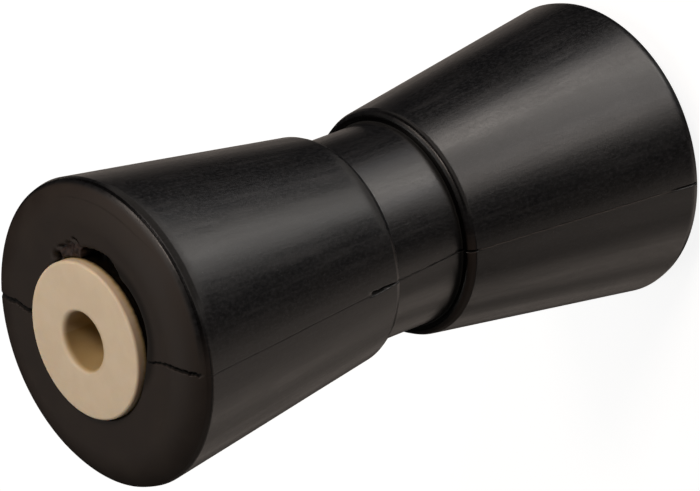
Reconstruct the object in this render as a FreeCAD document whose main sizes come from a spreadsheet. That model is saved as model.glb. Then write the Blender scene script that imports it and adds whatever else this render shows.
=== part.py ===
import FreeCAD, Part
import math
import os

import Sketcher

# Boat trailer keel roller: an hourglass rubber moulding with a nylon bush pressed into each end.
# Millimetres. The roller stands on its lower bush: the origin is the centre of that bush's end
# face and +Z runs up the roller's axis. The two halves of its mould met in the XZ plane.

# Driving dimensions: alias, value in millimetres or degrees, what it is
DIMENSIONS = [
    ("rubber_length", 198.0, "rubber from end face to end face"),
    ("waist_length", 26.0, "plain cylinder between the two shoulders"),
    ("waist_diameter", 60.8, "plain cylinder under the keel"),
    ("shoulder_height", 3.4, "step from the waist up to the cone"),
    ("cone_large_diameter", 91.4, "cone carried out to the plane of the end face"),
    ("shoulder_radius", 2.6, "rounding between the cone and the shoulder face"),
    ("waist_root_radius", 0.6, "fillet between the shoulder face and the waist"),
    ("end_border_width", 12.1, "border of the end face that falls away, in from the cone's corner"),
    ("end_crown_radius", 14.4, "curve by which that border falls away"),
    ("rim_radius", 2.5, "rounding between the border and the cone"),
    ("core_diameter", 24.0, "moulded hole through the rubber between the bushes"),
    ("seat_mouth_radius", 1.0, "rounding of the rubber where the bush goes in"),
    ("bush_diameter", 46.0, "outside of the nylon bush"),
    ("bush_length", 32.0, "nylon bush from end to end"),
    ("bush_proud", 2.1, "how far the bush stands out of the rubber"),
    ("bush_seat_gap", 0.05, "radial room between the bush and the rubber"),
    ("bush_edge_radius", 1.2, "rounding of the bush's outer edge"),
    ("bush_lead_in", 1.5, "chamfer on the bush's inner end"),
    ("bore_diameter", 17.0, "bore for the trailer's shaft"),
    ("bore_mouth_radius", 0.8, "rounding of the bore's outer mouth"),
    ("worn_lip_angle", 40.0, "middle of the worn lip beside the upper bush, from the parting plane"),
    ("worn_lip_offset", 9.5, "how far the worn lip's own centre is from the roller's axis"),
    ("worn_lip_radius", 21.0, "radius of the worn lip about its own centre"),
    ("worn_lip_rounding", 6.0, "curve by which the face rolls over into the worn lip"),
    ("worn_lip_depth", 3.0, "how deep the worn lip goes"),
    ("torn_hole_start", 56.0, "where the deep torn place begins, from the parting plane"),
    ("torn_hole_end", 91.0, "where it ends"),
    ("torn_hole_start_reach", 5.6, "how far out from the bush's seat it is torn where it begins"),
    ("torn_hole_end_reach", 6.4, "the same where it ends"),
    ("torn_hole_depth", 6.0, "how deep it goes"),
    ("torn_flap_start", 87.0, "where the shallow torn place begins, from the parting plane"),
    ("torn_flap_end", 122.0, "where it ends"),
    ("torn_flap_start_reach", 5.6, "how far out from the bush's seat it is torn where it begins"),
    ("torn_flap_end_reach", 1.6, "the same where it ends"),
    ("torn_flap_depth", 2.4, "how deep it goes"),
    ("seam_width", 0.6, "mould seam that has opened across the upper end face"),
    ("seam_depth", 0.5, "how deep the seam has opened"),
    ("seam_drop", 6.0, "how far below the end face it runs out, over the rim"),
    ("cut_overrun", 2.0, "how far a cut starts outside the face that it opens"),
]

# How near a round edge must be to the size that it is looked up by
EDGE_TOLERANCE = 1e-4

# Formulas that several features share, in the words of the sheet
HALF_LENGTH = "sizes.rubber_length / 2"
HALF_WAIST = "sizes.waist_length / 2"
WAIST_RADIUS = "sizes.waist_diameter / 2"
CONE_SMALL_RADIUS = "sizes.waist_diameter / 2 + sizes.shoulder_height"
CONE_LARGE_RADIUS = "sizes.cone_large_diameter / 2"
END_FLAT_RADIUS = "sizes.cone_large_diameter / 2 - sizes.end_border_width"
CORE_RADIUS = "sizes.core_diameter / 2"
BUSH_RADIUS = "sizes.bush_diameter / 2"
BORE_RADIUS = "sizes.bore_diameter / 2"
SEAT_RADIUS = "sizes.bush_diameter / 2 + sizes.bush_seat_gap"
SEAT_FLOOR = "sizes.rubber_length / 2 + sizes.bush_proud - sizes.bush_length"
CUT_START = "sizes.rubber_length / 2 + sizes.cut_overrun"
WORN_FLOOR = "sizes.rubber_length / 2 - sizes.worn_lip_depth"
SEAM_FLOOR = "sizes.rubber_length / 2 - sizes.seam_depth"
SEAM_RUN_OUT = "sizes.rubber_length / 2 - sizes.seam_drop"
OVERALL_LENGTH = "sizes.rubber_length + 2 * sizes.bush_proud"

# The shoulder's rounding leaves room on the shoulder face for the fillet at its root
SHOULDER_ROOM = "0.95 * (sizes.shoulder_height - sizes.waist_root_radius)"
SHOULDER_ROUNDING = f"min(sizes.shoulder_radius; {SHOULDER_ROOM})"

doc = FreeCAD.newDocument("keel_roller")
sizes = doc.addObject("Spreadsheet::Sheet", "sizes")
for row, (alias, number, meaning) in enumerate(DIMENSIONS, start=1):
    sizes.set(f"A{row}", meaning)
    sizes.set(f"B{row}", str(number))
    sizes.setAlias(f"B{row}", alias)
doc.recompute()


def value(formula):
    """The number that a formula in the sheet's words comes to."""
    return float(sizes.evalExpression(formula))


def point(x, y):
    return FreeCAD.Vector(x, y, 0)


def circle(centre, radius):
    return Part.Circle(centre, FreeCAD.Vector(0, 0, 1), radius)


def arc(centre, radius, start, end):
    """A sketch arc, anticlockwise from one angle in radians to another."""
    return Part.ArcOfCircle(circle(centre, radius), start, end)


def origin_plane(body, role):
    return next(feature for feature in body.Origin.OriginFeatures if feature.Role == role)


def new_sketch(body, name, plane):
    sketch = body.newObject("Sketcher::SketchObject", name)
    sketch.AttachmentSupport = [(origin_plane(body, plane), "")]
    sketch.MapMode = "FlatFace"
    return sketch


def join(sketch, *ends):
    """Joins pairs of end points, each given as four numbers: geometry, end, geometry, end."""
    for end in ends:
        sketch.addConstraint(Sketcher.Constraint("Coincident", *end))


def dimension(sketch, name, formula, kind, *places):
    """Adds a named dimension to a sketch and binds it to the sheet."""
    index = sketch.addConstraint(Sketcher.Constraint(kind, *places, value(formula)))
    sketch.renameConstraint(index, name)
    sketch.setExpression(f"Constraints.{name}", formula)


def outline(sketch, corners):
    """Draws a closed run of straight lines through the corners and gives their numbers."""
    lines = []
    for here, after in zip(corners, corners[1:] + corners[:1]):
        lines.append(sketch.addGeometry(Part.LineSegment(here, after), False))
    for line, following in zip(lines, lines[1:] + lines[:1]):
        join(sketch, (line, 2, following, 1))
    return lines


def round_edges(shape, radius, height):
    """Names of the circles about Z with this radius, at this height above or below the middle."""
    names = []
    for number, edge in enumerate(shape.Edges, start=1):
        curve = edge.Curve
        if not isinstance(curve, Part.Circle):
            continue
        level = abs(abs(curve.Center.z) - height) < EDGE_TOLERANCE
        if level and abs(curve.Radius - radius) < EDGE_TOLERANCE:
            names.append(f"Edge{number}")
    return names


def dress(body, kind, name, base, edges, size_name, formula):
    """Adds a fillet or chamfer on the named edges, with its size bound to the sheet."""
    if not edges:
        raise RuntimeError(f"{name} found no edge to work on")
    feature = body.newObject(f"PartDesign::{kind}", name)
    feature.Base = (base, edges)
    feature.setExpression(size_name, formula)
    doc.recompute()
    return feature


# Rubber moulding

def cone_meets_crown():
    """Where the cone's line meets the arc that the end face falls away on, before the rim."""
    run = value(HALF_LENGTH) - value(HALF_WAIST)
    rise = (value(CONE_LARGE_RADIUS) - value(CONE_SMALL_RADIUS)) / run
    centre_x = value(END_FLAT_RADIUS)
    centre_y = value(HALF_LENGTH) - value("sizes.end_crown_radius")
    offset = value(CONE_SMALL_RADIUS) - rise * value(HALF_WAIST) - centre_x
    square = 1 + rise ** 2
    middle = rise * offset - centre_y
    rest = offset ** 2 + centre_y ** 2 - value("sizes.end_crown_radius") ** 2
    height = (-middle + math.sqrt(middle ** 2 - square * rest)) / square
    return point(centre_x + offset + rise * height, height)


def draw_half_outline(body):
    """Half of the moulding's outline, from the middle of the waist up to one end face."""
    sketch = new_sketch(body, "half_outline", "XZ_Plane")
    half_length = value(HALF_LENGTH)
    half_waist = value(HALF_WAIST)
    flat_radius = value(END_FLAT_RADIUS)
    crown_radius = value("sizes.end_crown_radius")
    middle = point(0, 0)
    waist = point(value(WAIST_RADIUS), 0)
    root = point(value(WAIST_RADIUS), half_waist)
    shoulder = point(value(CONE_SMALL_RADIUS), half_waist)
    corner = cone_meets_crown()
    flat_edge = point(flat_radius, half_length)
    top = point(0, half_length)
    crown_centre = point(flat_radius, half_length - crown_radius)
    crown_start = math.atan2(corner.y - crown_centre.y, corner.x - crown_centre.x)

    across_waist = sketch.addGeometry(Part.LineSegment(middle, waist), False)
    waist_side = sketch.addGeometry(Part.LineSegment(waist, root), False)
    shoulder_face = sketch.addGeometry(Part.LineSegment(root, shoulder), False)
    cone = sketch.addGeometry(Part.LineSegment(shoulder, corner), False)
    crown = sketch.addGeometry(arc(crown_centre, crown_radius, crown_start, math.pi / 2), False)
    end_flat = sketch.addGeometry(Part.LineSegment(flat_edge, top), False)
    axis = sketch.addGeometry(Part.LineSegment(top, middle), False)
    cone_end = point(value(CONE_LARGE_RADIUS), half_length)
    cone_guide = sketch.addGeometry(Part.LineSegment(shoulder, cone_end), True)

    join(
        sketch,
        (across_waist, 2, waist_side, 1),
        (waist_side, 2, shoulder_face, 1),
        (shoulder_face, 2, cone, 1),
        (cone, 2, crown, 1),
        (end_flat, 2, axis, 1),
        (axis, 2, across_waist, 1),
        (across_waist, 1, -1, 1),
        (cone_guide, 1, cone, 1),
    )
    sketch.addConstraint(Sketcher.Constraint("Tangent", crown, 2, end_flat, 1))
    sketch.addConstraint(Sketcher.Constraint("PointOnObject", cone, 2, cone_guide))
    sketch.addConstraint(Sketcher.Constraint("Horizontal", cone_guide, 2, end_flat, 2))
    for line in (across_waist, shoulder_face, end_flat):
        sketch.addConstraint(Sketcher.Constraint("Horizontal", line))
    for line in (waist_side, axis):
        sketch.addConstraint(Sketcher.Constraint("Vertical", line))

    start = (across_waist, 1)
    dimension(sketch, "waist_radius", WAIST_RADIUS, "DistanceX", *start, waist_side, 1)
    dimension(sketch, "half_waist", HALF_WAIST, "DistanceY", *start, waist_side, 2)
    dimension(sketch, "cone_small_radius", CONE_SMALL_RADIUS, "DistanceX", *start, cone, 1)
    dimension(sketch, "cone_large_radius", CONE_LARGE_RADIUS, "DistanceX", *start, cone_guide, 2)
    dimension(sketch, "end_flat_radius", END_FLAT_RADIUS, "DistanceX", *start, end_flat, 1)
    dimension(sketch, "half_length", HALF_LENGTH, "DistanceY", *start, end_flat, 2)
    dimension(sketch, "end_crown_radius", "sizes.end_crown_radius", "Radius", crown)
    return sketch


def draw_core_section(body):
    """Half-section of what is cut from one half: the core hole and the wider bush seat."""
    sketch = new_sketch(body, "core_section", "XZ_Plane")
    core = value(CORE_RADIUS)
    seat = value(SEAT_RADIUS)
    floor = value(SEAT_FLOOR)
    start = value(CUT_START)
    corners = [
        point(0, 0),
        point(core, 0),
        point(core, floor),
        point(seat, floor),
        point(seat, start),
        point(0, start),
    ]
    middle, core_side, seat_floor, seat_side, mouth, axis = outline(sketch, corners)
    join(sketch, (middle, 1, -1, 1))
    for line in (middle, seat_floor, mouth):
        sketch.addConstraint(Sketcher.Constraint("Horizontal", line))
    for line in (core_side, seat_side, axis):
        sketch.addConstraint(Sketcher.Constraint("Vertical", line))
    dimension(sketch, "core_radius", CORE_RADIUS, "DistanceX", middle, 1, core_side, 1)
    dimension(sketch, "seat_radius", SEAT_RADIUS, "DistanceX", middle, 1, seat_side, 1)
    dimension(sketch, "seat_floor", SEAT_FLOOR, "DistanceY", middle, 1, core_side, 2)
    dimension(sketch, "cut_start", CUT_START, "DistanceY", middle, 1, seat_side, 2)
    return sketch


def wear_lip(body):
    """The rubber's lip worn away down one side of the upper bush: a dish off the roller's axis."""
    sketch = new_sketch(body, "worn_lip_section", "XZ_Plane")
    sketch.AttachmentOffset = FreeCAD.Placement(point(0, 0), FreeCAD.Rotation(point(0, 1), 40))
    sketch.setExpression("AttachmentOffset.Rotation.Angle", "sizes.worn_lip_angle * 1 deg")
    offset = value("sizes.worn_lip_offset")
    edge = offset + value("sizes.worn_lip_radius")
    rounding = value("sizes.worn_lip_rounding")
    face = value(HALF_LENGTH)
    floor = value(WORN_FLOOR)
    start = value(CUT_START)
    roll = math.acos(1 - (face - floor) / rounding)
    turned_under = point(edge - rounding * math.sin(roll), floor)
    mouth = sketch.addGeometry(Part.LineSegment(point(offset, start), point(edge, start)), False)
    side = sketch.addGeometry(Part.LineSegment(point(edge, start), point(edge, face)), False)
    turn = arc(point(edge, face - rounding), rounding, math.pi / 2, math.pi / 2 + roll)
    rolled = sketch.addGeometry(turn, False)
    bottom = sketch.addGeometry(Part.LineSegment(turned_under, point(offset, floor)), False)
    middle = sketch.addGeometry(Part.LineSegment(point(offset, floor), point(offset, start)), False)
    axis = sketch.addGeometry(Part.LineSegment(point(offset, floor), point(offset, start)), True)
    join(
        sketch,
        (mouth, 2, side, 1),
        (side, 2, rolled, 1),
        (rolled, 2, bottom, 1),
        (bottom, 2, middle, 1),
        (middle, 2, mouth, 1),
        (axis, 1, middle, 1),
        (axis, 2, middle, 2),
    )
    for line in (mouth, bottom):
        sketch.addConstraint(Sketcher.Constraint("Horizontal", line))
    for line in (side, middle):
        sketch.addConstraint(Sketcher.Constraint("Vertical", line))
    sketch.addConstraint(Sketcher.Constraint("Vertical", rolled, 3, rolled, 1))
    dimension(sketch, "offset", "sizes.worn_lip_offset", "DistanceX", -1, 1, mouth, 1)
    dimension(sketch, "lip_radius", "sizes.worn_lip_radius", "DistanceX", mouth, 1, mouth, 2)
    dimension(sketch, "cut_start", CUT_START, "DistanceY", -1, 1, mouth, 2)
    dimension(sketch, "end_face", HALF_LENGTH, "DistanceY", -1, 1, side, 2)
    dimension(sketch, "worn_floor", WORN_FLOOR, "DistanceY", -1, 1, rolled, 2)
    dimension(sketch, "rounding", "sizes.worn_lip_rounding", "Radius", rolled)
    dish = body.newObject("PartDesign::Groove", "worn_lip")
    dish.Profile = sketch
    dish.ReferenceAxis = (sketch, ["Axis0"])
    dish.Angle = 360
    doc.recompute()
    return dish


def tear(body, name):
    """A torn place in the rubber beside the upper bush, cut straight down from the end face."""
    sketch = new_sketch(body, f"{name}_outline", "XY_Plane")
    sketch.setExpression("AttachmentOffset.Base.z", CUT_START)
    start = f"sizes.{name}_start"
    end = f"sizes.{name}_end"
    far_start = f"({SEAT_RADIUS} + sizes.{name}_start_reach)"
    far_end = f"({SEAT_RADIUS} + sizes.{name}_end_reach)"
    near = f"({BUSH_RADIUS})"
    places = ((near, start), (far_start, start), (far_end, end), (near, end))
    corners = []
    for radius, angle in places:
        turn = math.radians(value(angle))
        corners.append(point(value(radius) * math.cos(turn), value(radius) * math.sin(turn)))
    ring_radius = f"({far_start} + {far_end}) / 2"
    chord = corners[2] - corners[1]
    rise = math.sqrt(value(ring_radius) ** 2 - (chord.Length / 2) ** 2)
    inward = point(-chord.y, chord.x) * (rise / chord.Length)
    centre = (corners[1] + corners[2]) * 0.5 + inward
    from_centre = corners[1] - centre
    to_centre = corners[2] - centre
    torn_edge = arc(
        centre,
        value(ring_radius),
        math.atan2(from_centre.y, from_centre.x),
        math.atan2(to_centre.y, to_centre.x),
    )
    sketch.addGeometry(Part.LineSegment(corners[0], corners[1]), False)
    sketch.addGeometry(torn_edge, False)
    sketch.addGeometry(Part.LineSegment(corners[2], corners[3]), False)
    sketch.addGeometry(Part.LineSegment(corners[3], corners[0]), False)
    join(sketch, (0, 2, 1, 1), (1, 2, 2, 1), (2, 2, 3, 1), (3, 2, 0, 1))
    held = ((0, 1), (0, 2), (2, 1), (2, 2))
    for number, ((radius, angle), (line, end_point)) in enumerate(zip(places, held), start=1):
        across = f"{radius} * cos({angle} * 1 deg)"
        along = f"{radius} * sin({angle} * 1 deg)"
        dimension(sketch, f"across_{number}", across, "DistanceX", -1, 1, line, end_point)
        dimension(sketch, f"along_{number}", along, "DistanceY", -1, 1, line, end_point)
    dimension(sketch, "torn_edge_radius", ring_radius, "Radius", 1)
    pocket = body.newObject("PartDesign::Pocket", name)
    pocket.Profile = sketch
    pocket.setExpression("Length", f"sizes.cut_overrun + sizes.{name}_depth")
    doc.recompute()
    return pocket


def open_seam(body):
    """The mould's parting seam, opened as a fine groove across both sides of the upper end."""
    sketch = new_sketch(body, "seam_section", "XZ_Plane")
    inner = value(CORE_RADIUS)
    flat = value(END_FLAT_RADIUS)
    outer = value(CONE_LARGE_RADIUS) + value("sizes.cut_overrun")
    floor = value(SEAM_FLOOR)
    run_out = value(SEAM_RUN_OUT)
    start = value(CUT_START)
    radius = value("sizes.end_crown_radius - sizes.seam_depth")
    centre = point(flat, floor - radius)
    lowest = math.asin((run_out - centre.y) / radius)
    fallen = point(flat + radius * math.cos(lowest), run_out)
    inner_side = sketch.addGeometry(Part.LineSegment(point(inner, start), point(inner, floor)), False)
    bottom = sketch.addGeometry(Part.LineSegment(point(inner, floor), point(flat, floor)), False)
    crown = sketch.addGeometry(arc(centre, radius, lowest, math.pi / 2), False)
    out = sketch.addGeometry(Part.LineSegment(fallen, point(outer, run_out)), False)
    outer_side = sketch.addGeometry(Part.LineSegment(point(outer, run_out), point(outer, start)), False)
    mouth = sketch.addGeometry(Part.LineSegment(point(outer, start), point(inner, start)), False)
    join(
        sketch,
        (inner_side, 2, bottom, 1),
        (crown, 1, out, 1),
        (out, 2, outer_side, 1),
        (outer_side, 2, mouth, 1),
        (mouth, 2, inner_side, 1),
    )
    sketch.addConstraint(Sketcher.Constraint("Tangent", bottom, 2, crown, 2))
    for line in (bottom, out, mouth):
        sketch.addConstraint(Sketcher.Constraint("Horizontal", line))
    for line in (inner_side, outer_side):
        sketch.addConstraint(Sketcher.Constraint("Vertical", line))
    reach = f"{CONE_LARGE_RADIUS} + sizes.cut_overrun"
    crown_radius = "sizes.end_crown_radius - sizes.seam_depth"
    dimension(sketch, "inner", CORE_RADIUS, "DistanceX", -1, 1, inner_side, 1)
    dimension(sketch, "flat", END_FLAT_RADIUS, "DistanceX", -1, 1, bottom, 2)
    dimension(sketch, "outer", reach, "DistanceX", -1, 1, out, 2)
    dimension(sketch, "seam_floor", SEAM_FLOOR, "DistanceY", -1, 1, bottom, 1)
    dimension(sketch, "run_out", SEAM_RUN_OUT, "DistanceY", -1, 1, out, 1)
    dimension(sketch, "cut_start", CUT_START, "DistanceY", -1, 1, mouth, 1)
    dimension(sketch, "crown_radius", crown_radius, "Radius", crown)
    seam = body.newObject("PartDesign::Pocket", "seam")
    seam.Profile = sketch
    seam.Midplane = True
    seam.setExpression("Length", "sizes.seam_width")
    doc.recompute()
    both = body.newObject("PartDesign::Mirrored", "seam_both_sides")
    both.Originals = [seam]
    both.MirrorPlane = (origin_plane(body, "YZ_Plane"), [""])
    body.Tip = both
    doc.recompute()
    return both


def make_roller_body():
    body = doc.addObject("PartDesign::Body", "roller_body")
    half = body.newObject("PartDesign::Revolution", "half_roller")
    half_outline = draw_half_outline(body)
    half.Profile = half_outline
    half.ReferenceAxis = (half_outline, ["V_Axis"])
    half.Angle = 360
    doc.recompute()
    core_section = draw_core_section(body)
    cut = body.newObject("PartDesign::Groove", "core_and_seat")
    cut.Profile = core_section
    cut.ReferenceAxis = (core_section, ["V_Axis"])
    cut.Angle = 360
    doc.recompute()
    whole = body.newObject("PartDesign::Mirrored", "whole_roller")
    whole.Originals = [half, cut]
    whole.MirrorPlane = (origin_plane(body, "XY_Plane"), [""])
    body.Tip = whole
    doc.recompute()
    rim = max(edge.Curve.Radius for edge in whole.Shape.Edges if isinstance(edge.Curve, Part.Circle))
    corner = cone_meets_crown()
    edges = round_edges(whole.Shape, rim, corner.y)
    tip = dress(body, "Fillet", "rims", whole, edges, "Radius", "sizes.rim_radius")
    edges = round_edges(tip.Shape, value(CONE_SMALL_RADIUS), value(HALF_WAIST))
    tip = dress(body, "Fillet", "shoulders", tip, edges, "Radius", SHOULDER_ROUNDING)
    edges = round_edges(tip.Shape, value(WAIST_RADIUS), value(HALF_WAIST))
    tip = dress(body, "Fillet", "waist_roots", tip, edges, "Radius", "sizes.waist_root_radius")
    edges = round_edges(tip.Shape, value(SEAT_RADIUS), value(HALF_LENGTH))
    dress(body, "Fillet", "seat_mouths", tip, edges, "Radius", "sizes.seat_mouth_radius")
    wear_lip(body)
    tear(body, "torn_flap")
    tear(body, "torn_hole")
    open_seam(body)
    body.setExpression("Placement.Base.z", f"{HALF_LENGTH} + sizes.bush_proud")
    return body


# Nylon bushes

def make_bush(name):
    """A plain bush, drawn with its inner end on the XY plane and its outer end up."""
    body = doc.addObject("PartDesign::Body", name)
    length = value("sizes.bush_length")

    blank_outline = new_sketch(body, f"{name}_blank_outline", "XY_Plane")
    blank_outline.addGeometry(circle(point(0, 0), value(BUSH_RADIUS)), False)
    join(blank_outline, (0, 3, -1, 1))
    dimension(blank_outline, "bush_radius", BUSH_RADIUS, "Radius", 0)
    blank = body.newObject("PartDesign::Pad", f"{name}_blank")
    blank.Profile = blank_outline
    blank.setExpression("Length", "sizes.bush_length")
    doc.recompute()

    bore_outline = new_sketch(body, f"{name}_bore_outline", "XY_Plane")
    bore_outline.addGeometry(circle(point(0, 0), value(BORE_RADIUS)), False)
    join(bore_outline, (0, 3, -1, 1))
    dimension(bore_outline, "bore_radius", BORE_RADIUS, "Radius", 0)
    bore = body.newObject("PartDesign::Pocket", f"{name}_bore")
    bore.Profile = bore_outline
    bore.Type = "ThroughAll"
    bore.Reversed = True
    doc.recompute()

    edges = round_edges(bore.Shape, value(BUSH_RADIUS), length)
    tip = dress(body, "Fillet", f"{name}_outer_edge", bore, edges, "Radius", "sizes.bush_edge_radius")
    edges = round_edges(tip.Shape, value(BORE_RADIUS), length)
    tip = dress(body, "Fillet", f"{name}_bore_mouth", tip, edges, "Radius", "sizes.bore_mouth_radius")
    edges = round_edges(tip.Shape, value(BUSH_RADIUS), 0)
    dress(body, "Chamfer", f"{name}_lead_in", tip, edges, "Size", "sizes.bush_lead_in")
    return body


roller_body = make_roller_body()
top_bush = make_bush("top_bush")
bottom_bush = make_bush("bottom_bush")

# Each bush is pushed in until its inner end stands on the floor of its seat; the lower one is
# turned end for end, so its outer end is what the roller stands on.
top_bush.setExpression("Placement.Base.z", f"{OVERALL_LENGTH} - sizes.bush_length")
bottom_bush.Placement.Rotation = FreeCAD.Rotation(FreeCAD.Vector(1, 0, 0), 180)
bottom_bush.setExpression("Placement.Base.z", "sizes.bush_length")
doc.recompute()

for item in doc.Objects:
    if "Invalid" in item.State or "Error" in item.State:
        raise RuntimeError(f"{item.Name} did not build: {item.State}")

os.makedirs("parts", exist_ok=True)
for node in (roller_body, top_bush, bottom_bush):
    if node.Shape.isNull() or not node.Shape.isValid():
        raise RuntimeError(f"{node.Label} has no sound shape")
    node.Shape.exportStep(f"parts/{node.Label}.step")
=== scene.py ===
import functools
import math
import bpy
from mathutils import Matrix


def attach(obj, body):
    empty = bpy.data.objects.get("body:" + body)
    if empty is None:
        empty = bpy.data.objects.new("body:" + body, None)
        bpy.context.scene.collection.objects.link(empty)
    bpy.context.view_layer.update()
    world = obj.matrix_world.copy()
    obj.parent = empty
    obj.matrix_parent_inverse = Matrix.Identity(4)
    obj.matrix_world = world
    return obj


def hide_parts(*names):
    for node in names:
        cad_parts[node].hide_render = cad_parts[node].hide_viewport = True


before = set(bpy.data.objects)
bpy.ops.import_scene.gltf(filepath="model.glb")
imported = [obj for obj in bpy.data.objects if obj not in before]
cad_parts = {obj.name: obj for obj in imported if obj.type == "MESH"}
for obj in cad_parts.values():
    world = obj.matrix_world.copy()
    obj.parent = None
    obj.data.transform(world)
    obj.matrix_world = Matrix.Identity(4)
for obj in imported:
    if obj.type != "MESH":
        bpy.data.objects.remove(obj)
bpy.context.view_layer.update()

from types import SimpleNamespace

import bpy
import numpy as np
from mathutils import Matrix, Vector, noise

# Sizes of the moulding and its bushes, in millimetres, as the CAD part has them. A height is
# measured from the middle of the waist, a level from the ground.
MM = 0.001
HALF_LENGTH = 99.0
HALF_WAIST = 13.0
WAIST_RADIUS = 30.4
SHOULDER_HEIGHT = 3.4
SHOULDER_ROUNDING = 2.6
CONE_LARGE_RADIUS = 45.7
RIM_ROUNDING = 2.5
END_FLAT_RADIUS = 33.6
END_CROWN_RADIUS = 14.4
CORE_RADIUS = 12.0
SEAT_MOUTH_ROUNDING = 1.0
BUSH_RADIUS = 23.0
BUSH_ROOM = 0.05
BUSH_LENGTH = 32.0
BUSH_PROUD = 2.1
BUSH_LEAD_IN = 1.5
BORE_RADIUS = 8.5

CONE_SMALL_RADIUS = WAIST_RADIUS + SHOULDER_HEIGHT
BUSH_END = HALF_LENGTH + BUSH_PROUD
SEAT_RADIUS = BUSH_RADIUS + BUSH_ROOM
SEAT_FLOOR = BUSH_END - BUSH_LENGTH
MIDDLE = BUSH_END
CROWN_CENTRE = np.array((END_FLAT_RADIUS, HALF_LENGTH - END_CROWN_RADIUS))
CONE_SLOPE = (CONE_LARGE_RADIUS - CONE_SMALL_RADIUS) / (HALF_LENGTH - HALF_WAIST)
CONE_ANGLE = math.atan(CONE_SLOPE)
CONE_ALONG = np.array((math.sin(CONE_ANGLE), math.cos(CONE_ANGLE)))
CONE_NORMAL = np.array((math.cos(CONE_ANGLE), -math.sin(CONE_ANGLE)))

# Where the surface departs a little from the CAD: a tighter root, a stretch of the shoulder's and
# the rim's arc drawn in towards its chord, and a bush with a crowned face and a rounded edge
WAIST_ROOT_ROUNDING = 0.5
SHOULDER_FLAT_START = -40.0
SHOULDER_FLAT_SHARE = 1.0
RIM_FLAT_END = 36.0
RIM_FLAT_SHARE = 0.8
BUSH_CROWN = 0.30
BUSH_EDGE = 0.85

# Distance between rows of points: on the worn upper half, and on the lower half
ROW_STEPS = {
    "waist": (1.2, 1.2),
    "root": (0.2, 0.2),
    "shoulder": (0.3, 0.3),
    "beside shoulder": (0.3, 0.3),
    "near shoulder": (1.4, 2.0),
    "cone": (3.0, 3.6),
    "beside rim": (0.32, 0.8),
    "rim": (0.2, 0.32),
    "outer crown": (0.22, 0.5),
    "middle crown": (0.24, 1.3),
    "inner crown": (0.5, 1.6),
    "face": (0.40, 1.6),
    "mouth": (0.4, 0.4),
    "outer seat": (0.8, 2.5),
    "inner seat": (4.5, 4.5),
    "seat floor": (3.6, 3.6),
    "core": (8.0, 8.0),
}
# Where the distance changes: along the cone, round the crown in degrees, and down the seat
BESIDE_SHOULDER = 1.4
NEAR_SHOULDER = 32.0
BESIDE_RIM = 1.6
CROWN_BREAKS = (51.0, 64.0)
SEAT_BREAK = 88.0

# Columns round the axis, closer together over the torn place and over the two mould seams:
# first azimuth, last azimuth and distance, in degrees
COLUMN_STRETCHES = [
    (-6.0, -2.0, 0.5),
    (-2.0, 5.0, 0.22),
    (5.0, 48.0, 1.8),
    (48.0, 126.0, 0.68),
    (126.0, 170.0, 1.8),
    (170.0, 178.0, 0.27),
    (178.0, 182.0, 0.22),
    (182.0, 354.0, 2.0),
]

# How far out from the axis the torn places reach, by azimuth in degrees
HOLE_EDGE = [
    (52, 23.0), (55, 26.0), (58, 27.6), (62, 28.4), (67, 28.9), (73, 28.8),
    (80, 28.1), (86, 27.4), (90, 26.9), (93, 26.0), (95, 23.0),
]
HOLE_DEPTH = 7.5
FLAP_EDGE = [
    (92, 26.6), (96, 27.6), (102, 27.8), (108, 27.2), (113, 26.3), (118, 25.7), (121, 24.4), (123, 23.0),
]
FLAP_DEPTH = 0.7

# What is torn out of the flap and what is left standing in it: height, azimuth, distance from the
# axis, width in degrees, width in millimetres, and lean in degrees to a millimetre
FLAP_CUTS = [
    (3.2, 119.2, 24.2, 2.6, 1.3, 0.0),
    (1.6, 111.5, 26.6, 2.6, 0.45, 0.0),
    (1.0, 102.5, 27.5, 3.0, 0.4, 0.0),
    (0.9, 104.0, 25.6, 1.6, 1.6, 0.0),
]
FLAP_SHREDS = [
    (0.45, 111.5, 24.9, 3.0, 0.9, 0.0),
    (0.5, 98.5, 25.6, 3.4, 1.7, -0.9),
]

# The slit between the hole and the flap: its azimuth at one distance from the axis, and its lean
# in degrees to a millimetre
SLIT_DEPTH = 4.5
SLIT_AZIMUTH = 91.5
SLIT_DISTANCE = 26.0
SLIT_LEAN = 1.9
SLIT_WIDTH = 1.35
SLIT_SPAN = (24.0, 25.0, 28.6, 29.4)

# All of the wear beside the bush lies within this radius, and what is torn between these azimuths
WORN_RADIUS = 33.0
TORN_SIDES = (48.0, 127.0)

# The worn lip: a round place set off from the axis, over which the face rolls down
LIP_AZIMUTH = 40.0
LIP_OFFSET = 9.3
LIP_RADIUS = 20.6
LIP_ROUNDING = 6.0
LIP_DEPTH = 3.0

# The opened seam on the two sides of the end face: azimuth by distance from the axis
SEAM_RIGHT = [
    (23.0, 0.4), (26.5, 0.8), (28.0, 1.9), (30.0, 2.8), (33.6, 3.1),
    (36.0, 2.5), (38.0, 1.9), (42.0, 0.8), (44.5, 0.2), (46.0, 0.0),
]
SEAM_LEFT = [
    (23.0, 176.4), (25.2, 177.0), (27.0, 177.4), (29.2, 176.6), (31.8, 175.5),
    (34.4, 176.4), (38.0, 176.8), (42.0, 178.6), (46.0, 180.0),
]
CRACK_DEPTH = 1.3

# The mould's parting line: its width, how high it stands or how deep it lies, and the levels of
# the nicks in it. Across the waist it shifts by a few degrees.
LINE_WIDTH = 0.38
LINE_HEIGHT = 0.06
LINE_DEPTH = 0.07
WAIST_SHIFT = -3.6
WAIST_FOOT_LEVEL = 88.0
NICK_LEVELS = (113.8, 116.0, 124.0, 128.5)
NICK_DEPTH = 1.5
LOW_NICK_LEVELS = [(3.0, 9.5, 13.0, 15.5), (84.5, 86.5, 88.6, 90.0)]
LOW_NICK_DEPTH = 0.9

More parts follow.
